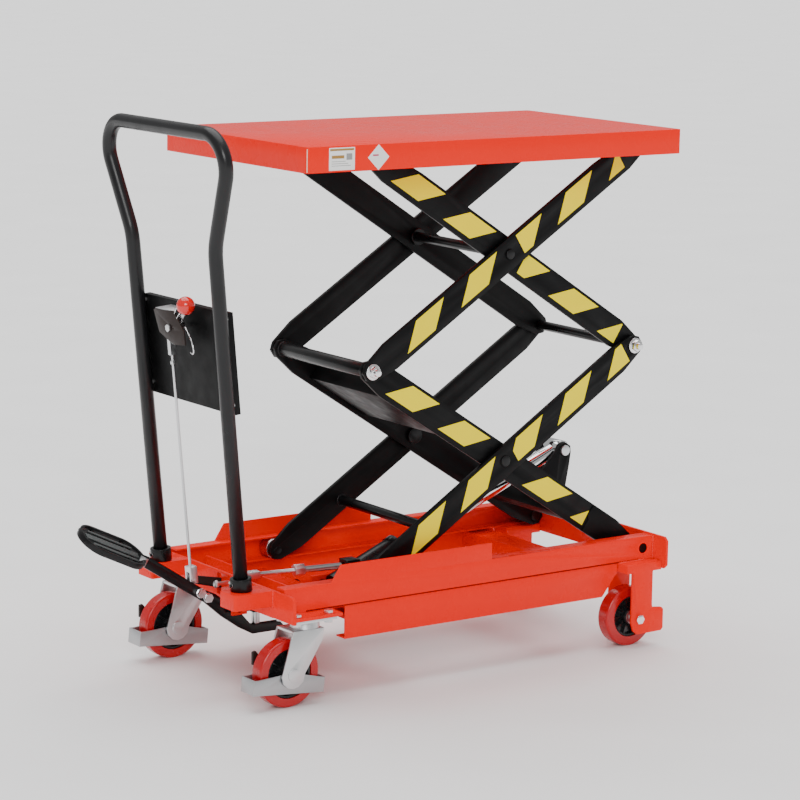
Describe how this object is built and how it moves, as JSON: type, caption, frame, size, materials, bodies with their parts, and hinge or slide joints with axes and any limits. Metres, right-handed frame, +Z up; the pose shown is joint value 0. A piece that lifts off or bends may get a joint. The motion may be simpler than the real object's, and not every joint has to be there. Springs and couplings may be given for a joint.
{
  "type": "scissor lift table",
  "caption": "Mobile scissor lift table with crossed arms, a flat deck, a bent push handle, a foot pedal, a hydraulic ram and casters, shown raised.",
  "frame": {"origin": "middle of the footprint at floor level", "axes": "+Z up; +X towards the fixed wheels, -X towards the handle; +Y across, towards the far side"},
  "size_m": [1.2516, 0.516, 1.1128],
  "materials": {
    "red_paint": "glossy orange-red powder coat",
    "black_paint": "satin black powder coat",
    "bracket_paint": "satin brown-black paint",
    "zinc": "bright zinc plate",
    "chrome": "hard chrome, polished",
    "roller_steel": "turned steel",
    "red_tyre": "smooth red polyurethane",
    "black_hub": "black moulded hub",
    "red_knob": "glossy red ball"
  },
  "bodies": {
    "chassis": {"side_channel_near": "red_paint", "side_channel_far": "red_paint", "skirt_channels": "red_paint", "handle_end_plate": "red_paint", "wheel_end_plate": "red_paint", "floor_plate": "red_paint", "cross_beam": "red_paint", "caster_mounts": "red_paint", "wheel_brackets": "red_paint", "handle_brackets": "red_paint", "frame_pins": "black_paint", "cylinder_bracket": "red_paint", "pedal_bracket": "red_paint", "pump_body": "black_paint", "caster_top_plates": "zinc", "frame_fasteners": "zinc", "handle_tube": "black_paint", "handle_collars": "black_paint", "lever_plate": "black_paint", "lever_bracket": "bracket_paint"},
    "lower_inner": {"lower_inner_arms": "black_paint", "box_beam": "black_paint", "ram_ears": "black_paint", "ear_pin": "zinc"},
    "lower_outer": {"lower_outer_arms": "black_paint", "lower_cross_tube": "black_paint", "lower_outer_pins": "black_paint"},
    "upper_outer": {"upper_outer_arms": "black_paint", "left_joint_tube": "black_paint", "left_joint_nuts": "zinc", "upper_centre_shaft": "black_paint"},
    "upper_inner": {"upper_inner_arms": "black_paint", "right_joint_shaft": "zinc", "upper_inner_pins": "zinc"},
    "deck": {"deck_tray": "red_paint", "deck_rails": "red_paint"},
    "base_rollers": {"base_rollers": "roller_steel"},
    "deck_rollers": {"deck_rollers": "roller_steel"},
    "ram_barrel": {"ram_barrel": "black_paint"},
    "ram_rod": {"ram_rod": "chrome"},
    "pedal": {"pedal_lever": "black_paint", "pedal_pad": "black_paint"},
    "pump_plunger": {"pump_plunger": "zinc"},
    "release_lever": {"release_lever": "zinc", "ball_knob": "red_knob"},
    "pull_rod": {"pull_rod": "zinc"},
    "release_crank": {"release_crank": "bracket_paint"},
    "link_rod": {"link_rod": "zinc"},
    "swivel_near": {"caster_fork_near": "zinc"},
    "swivel_wheel_near": {"swivel_tyre_near": "red_tyre", "swivel_hub_near": "black_hub"},
    "brake_near": {"brake_frame_near": "zinc"},
    "fixed_wheel_near": {"fixed_tyre_near": "red_tyre", "fixed_hub_near": "black_hub"},
    "swivel_far": {"caster_fork_far": "zinc"},
    "swivel_wheel_far": {"swivel_tyre_far": "red_tyre", "swivel_hub_far": "black_hub"},
    "brake_far": {"brake_frame_far": "zinc"},
    "fixed_wheel_far": {"fixed_tyre_far": "red_tyre", "fixed_hub_far": "black_hub"}
  },
  "joints": [
    {"name": "lift", "type": "hinge", "parent": "chassis", "child": "lower_inner", "pos_m": [0.5917, 0, 0.204], "axis": [0, 1, 0], "range_deg": [-27.95, 10.5]},
    {"name": "lower_centre_pivot", "type": "hinge", "parent": "lower_inner", "child": "lower_outer", "pos_m": [0.264, 0, 0.41374], "axis": [0, 1, 0], "range_deg": [-21.1, 56]},
    {"name": "left_joint_pivot", "type": "hinge", "parent": "lower_inner", "child": "upper_outer", "pos_m": [-0.06371, 0, 0.62347], "axis": [0, 1, 0], "range_deg": [-21.1, 56]},
    {"name": "upper_centre_pivot", "type": "hinge", "parent": "upper_outer", "child": "upper_inner", "pos_m": [0.264, 0, 0.83321], "axis": [0, 1, 0], "range_deg": [-56, 21.1]},
    {"name": "deck_pivot", "type": "hinge", "parent": "upper_outer", "child": "deck", "pos_m": [0.5917, 0, 1.04295], "axis": [0, 1, 0], "range_deg": [-28.05, 10.6]},
    {"name": "base_roller_spin", "type": "hinge", "parent": "lower_outer", "child": "base_rollers", "pos_m": [-0.06371, 0, 0.204], "axis": [0, 1, 0], "continuous": true},
    {"name": "deck_roller_spin", "type": "hinge", "parent": "upper_inner", "child": "deck_rollers", "pos_m": [-0.06371, 0, 1.04295], "axis": [0, 1, 0], "continuous": true},
    {"name": "ram_foot_pivot", "type": "hinge", "parent": "chassis", "child": "ram_barrel", "pos_m": [-0.043, 0, 0.15], "axis": [0, -1, 0], "range_deg": [-1.03, 0.4]},
    {"name": "ram_ear_pivot", "type": "hinge", "parent": "lower_inner", "child": "ram_rod", "pos_m": [0.52616, 0, 0.38593], "axis": [0, -1, 0], "range_deg": [-29.06, 10.98]},
    {"name": "pedal_pivot", "type": "hinge", "parent": "chassis", "child": "pedal", "pos_m": [-0.273, 0, 0.148], "axis": [0, -1, 0], "range_deg": [0, 20], "stiffness_Nm_per_rad": 20, "springref_deg": -20.05},
    {"name": "pump_stroke", "type": "slide", "parent": "chassis", "child": "pump_plunger", "axis": [0, 0, 1], "range_m": [0, 0.0212]},
    {"name": "lever_pivot", "type": "hinge", "parent": "chassis", "child": "release_lever", "pos_m": [-0.41108, -0.001, 0.71576], "axis": [0.9952, 0, 0.0976], "range_deg": [0, 12], "stiffness_Nm_per_rad": 2, "springref_deg": -17.19},
    {"name": "pull_rod_slide", "type": "slide", "parent": "chassis", "child": "pull_rod", "axis": [-0.0636, 0.7584, 0.6487], "range_m": [0, 0.00546]},
    {"name": "crank_pivot", "type": "hinge", "parent": "chassis", "child": "release_crank", "pos_m": [-0.27, 0, 0.19], "axis": [0, 1, 0], "range_deg": [0, 2.23]},
    {"name": "link_rod_slide", "type": "slide", "parent": "chassis", "child": "link_rod", "axis": [0.99, -0.1409, 0], "range_m": [0, 0.00124]},
    {"name": "swivel_near", "type": "hinge", "parent": "chassis", "child": "swivel_near", "pos_m": [-0.246, -0.214, 0.16], "axis": [0, 0, 1], "continuous": true},
    {"name": "swivel_wheel_spin_near", "type": "hinge", "parent": "swivel_near", "child": "swivel_wheel_near", "pos_m": [-0.289, -0.214, 0.067], "axis": [0, 1, 0], "continuous": true},
    {"name": "brake_tilt_near", "type": "hinge", "parent": "swivel_near", "child": "brake_near", "pos_m": [-0.289, -0.214, 0.067], "axis": [0, 1, 0], "range_deg": [-4, 4]},
    {"name": "fixed_wheel_spin_near", "type": "hinge", "parent": "chassis", "child": "fixed_wheel_near", "pos_m": [0.5625, -0.201, 0.0625], "axis": [0, 1, 0], "continuous": true},
    {"name": "swivel_far", "type": "hinge", "parent": "chassis", "child": "swivel_far", "pos_m": [-0.246, 0.214, 0.16], "axis": [0, 0, 1], "continuous": true},
    {"name": "swivel_wheel_spin_far", "type": "hinge", "parent": "swivel_far", "child": "swivel_wheel_far", "pos_m": [-0.289, 0.214, 0.067], "axis": [0, 1, 0], "continuous": true},
    {"name": "brake_tilt_far", "type": "hinge", "parent": "swivel_far", "child": "brake_far", "pos_m": [-0.289, 0.214, 0.067], "axis": [0, 1, 0], "range_deg": [-4, 4]},
    {"name": "fixed_wheel_spin_far", "type": "hinge", "parent": "chassis", "child": "fixed_wheel_far", "pos_m": [0.5625, 0.201, 0.0625], "axis": [0, 1, 0], "continuous": true}
  ],
  "couplings": [
    {"joint": "lower_centre_pivot", "follows": "lift", "ratio": -2},
    {"joint": "left_joint_pivot", "follows": "lift", "ratio": -2},
    {"joint": "upper_centre_pivot", "follows": "lift", "ratio": 2},
    {"joint": "deck_pivot", "follows": "lift", "ratio": 1},
    {"joint": "ram_foot_pivot", "follows": "lift", "ratio": 0.036},
    {"joint": "ram_ear_pivot", "follows": "lift", "ratio": 1.036},
    {"joint": "pump_stroke", "follows": "pedal_pivot", "m_per_rad": 0.06},
    {"joint": "pull_rod_slide", "follows": "lever_pivot", "m_per_rad": 0.025612},
    {"joint": "crank_pivot", "follows": "lever_pivot", "ratio": 0.18129},
    {"joint": "link_rod_slide", "follows": "lever_pivot", "m_per_rad": 0.005439}
  ]
}
